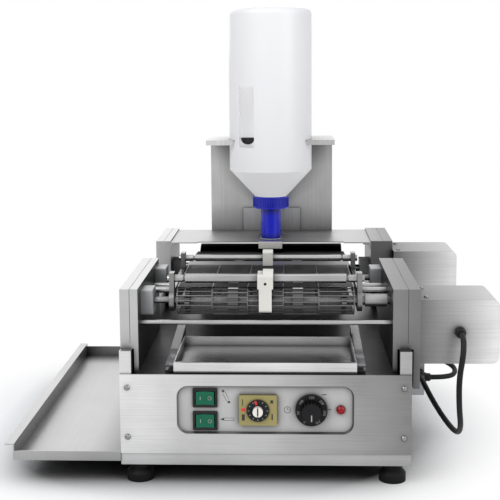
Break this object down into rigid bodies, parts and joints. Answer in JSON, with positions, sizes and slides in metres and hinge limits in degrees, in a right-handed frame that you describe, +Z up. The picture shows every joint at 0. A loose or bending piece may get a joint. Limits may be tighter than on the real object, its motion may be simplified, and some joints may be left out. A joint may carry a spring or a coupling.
{
  "type": "electric crepe maker",
  "caption": "Tabletop crepe machine with a bottle-fed heated drum, a wire mesh conveyor, sliding pans and a front control panel.",
  "frame": {"origin": "middle of the footprint at the height of the feet, cables left out", "axes": "+X toward the motors on the right as seen from the control panel, +Y toward the bottle at the back, +Z up"},
  "size_m": [0.614, 0.5617, 0.607],
  "materials": {
    "case_steel": "brushed",
    "bottle_plastic": "translucent",
    "bearing_light": "satin",
    "rod_steel": "ground",
    "bracket_steel": "brushed",
    "cap_blue": "satin",
    "gland_black": "satin",
    "screw_steel": "bright",
    "control_face": "satin",
    "cheek_steel": "brushed",
    "rocker_green": "translucent gloss",
    "drum_metal": "machined",
    "deck_steel": "brushed",
    "white_plastic": "satin",
    "pan_steel": "brushed",
    "coupling_aluminium": "satin",
    "shaft_steel": "ground",
    "sprocket_steel": "machined",
    "foot_rubber": "matte",
    "bolt_steel": "bright",
    "motor_metal": "satin",
    "frame_steel": "brushed",
    "cord_black": "matte",
    "panel_steel": "brushed",
    "heater_steel": "heat tinted",
    "sleeve_steel": "ground",
    "cover_steel": "brushed",
    "rail_film": "film",
    "lamp_red": "gloss",
    "plate_steel": "brushed",
    "inlet_black": "satin",
    "tray_steel": "brushed",
    "switch_black": "gloss",
    "box_grey": "satin",
    "thermostat_metal": "satin",
    "dial_black": "satin",
    "timer_face": "satin",
    "timer_knob_white": "satin",
    "timer_ring_black": "satin",
    "chute_steel": "brushed",
    "belt_wire": "bright wire"
  },
  "bodies": {
    "machine": {"base_shell": "case_steel", "bearing_blocks": "bearing_light", "belt_support_bar": "rod_steel", "bottle_bracket": "bracket_steel", "cable_glands": "gland_black", "case_screws": "screw_steel", "control_plate": "control_face", "conveyor_side_plates": "cheek_steel", "deck_plate": "deck_steel", "dosing_shoe": "white_plastic", "feet": "foot_rubber", "foot_bolts": "bolt_steel", "front_gearmotor": "motor_metal", "front_left_frame": "frame_steel", "front_motor_cord": "cord_black", "front_panel": "panel_steel", "front_right_frame": "frame_steel", "guide_blocks": "white_plastic", "heater_rod": "heater_steel", "heater_sleeve": "sleeve_steel", "motor_covers": "cover_steel", "pan_rails": "rail_film", "pilot_lamp": "lamp_red", "plate_ledges": "plate_steel", "power_inlet": "inlet_black", "rear_gearmotor": "motor_metal", "rear_left_frame": "frame_steel", "rear_motor_cord": "cord_black", "rear_right_frame": "frame_steel", "stripper_finger": "white_plastic", "stripper_rods": "rod_steel", "switch_housings": "switch_black", "terminal_box": "box_grey", "terminal_lid": "box_grey", "thermostat_body": "thermostat_metal", "tie_bar_and_spacers": "rod_steel", "timer_housing": "timer_face", "timer_scale_ring": "timer_ring_black", "top_plate": "plate_steel", "transfer_plate": "chute_steel", "wear_strips": "white_plastic", "wire_belt": "belt_wire"},
    "conveyor_rocker": {"conveyor_switch_rocker": "rocker_green"},
    "dosing_rocker": {"dosing_switch_rocker": "rocker_green"},
    "timer_dial": {"timer_knob": "timer_knob_white"},
    "thermostat_dial": {"thermostat_knob": "dial_black"},
    "drive_roller": {"drive_shaft": "shaft_steel", "drive_coupling": "coupling_aluminium", "front_output_shaft": "shaft_steel", "drive_wheels": "white_plastic", "drive_sprockets": "sprocket_steel"},
    "idler_roller": {"idler_shaft": "shaft_steel", "idler_wheels": "white_plastic", "idler_sprockets": "sprocket_steel"},
    "drum": {"crepe_drum": "drum_metal", "drum_shaft": "shaft_steel"},
    "pan": {"drip_pan": "pan_steel"},
    "tray": {"side_tray": "tray_steel"},
    "bottle_unit": {"batter_bottle": "bottle_plastic", "bottle_cap": "cap_blue"}
  },
  "joints": [
    {"name": "conveyor_switch_tilt", "type": "hinge", "parent": "machine", "child": "conveyor_rocker", "pos_m": [-0.0554, -0.25235, 0.1106], "axis": [0, 0, 1], "range_deg": [-8, 8]},
    {"name": "dosing_switch_tilt", "type": "hinge", "parent": "machine", "child": "dosing_rocker", "pos_m": [-0.0554, -0.25235, 0.0814], "axis": [0, 0, 1], "range_deg": [-8, 8]},
    {"name": "timer_turn", "type": "hinge", "parent": "machine", "child": "timer_dial", "pos_m": [0.0101, -0.25875, 0.096], "axis": [0, 1, 0], "range_deg": [0, 270]},
    {"name": "thermostat_turn", "type": "hinge", "parent": "machine", "child": "thermostat_dial", "pos_m": [0.076, -0.25875, 0.096], "axis": [0, 1, 0], "range_deg": [0, 270]},
    {"name": "drive_spin", "type": "hinge", "parent": "machine", "child": "drive_roller", "pos_m": [0.019, -0.20125, 0.222], "axis": [1, 0, 0], "continuous": true},
    {"name": "idler_spin", "type": "hinge", "parent": "machine", "child": "idler_roller", "pos_m": [0.019, -0.05525, 0.222], "axis": [1, 0, 0], "continuous": true},
    {"name": "drum_spin", "type": "hinge", "parent": "machine", "child": "drum", "pos_m": [0.019, 0.17375, 0.192], "axis": [1, 0, 0], "continuous": true},
    {"name": "drip_pan_slide", "type": "slide", "parent": "machine", "child": "pan", "axis": [0, -1, 0], "range_m": [0, 0.12]},
    {"name": "side_tray_slide", "type": "slide", "parent": "machine", "child": "tray", "axis": [-1, 0, 0], "range_m": [0, 0.04]},
    {"name": "bottle_lift", "type": "slide", "parent": "machine", "child": "bottle_unit", "axis": [0, 0, 1], "range_m": [0, 0.15]}
  ],
  "couplings": [
    {"joint": "idler_spin", "follows": "drive_spin", "ratio": 1}
  ]
}
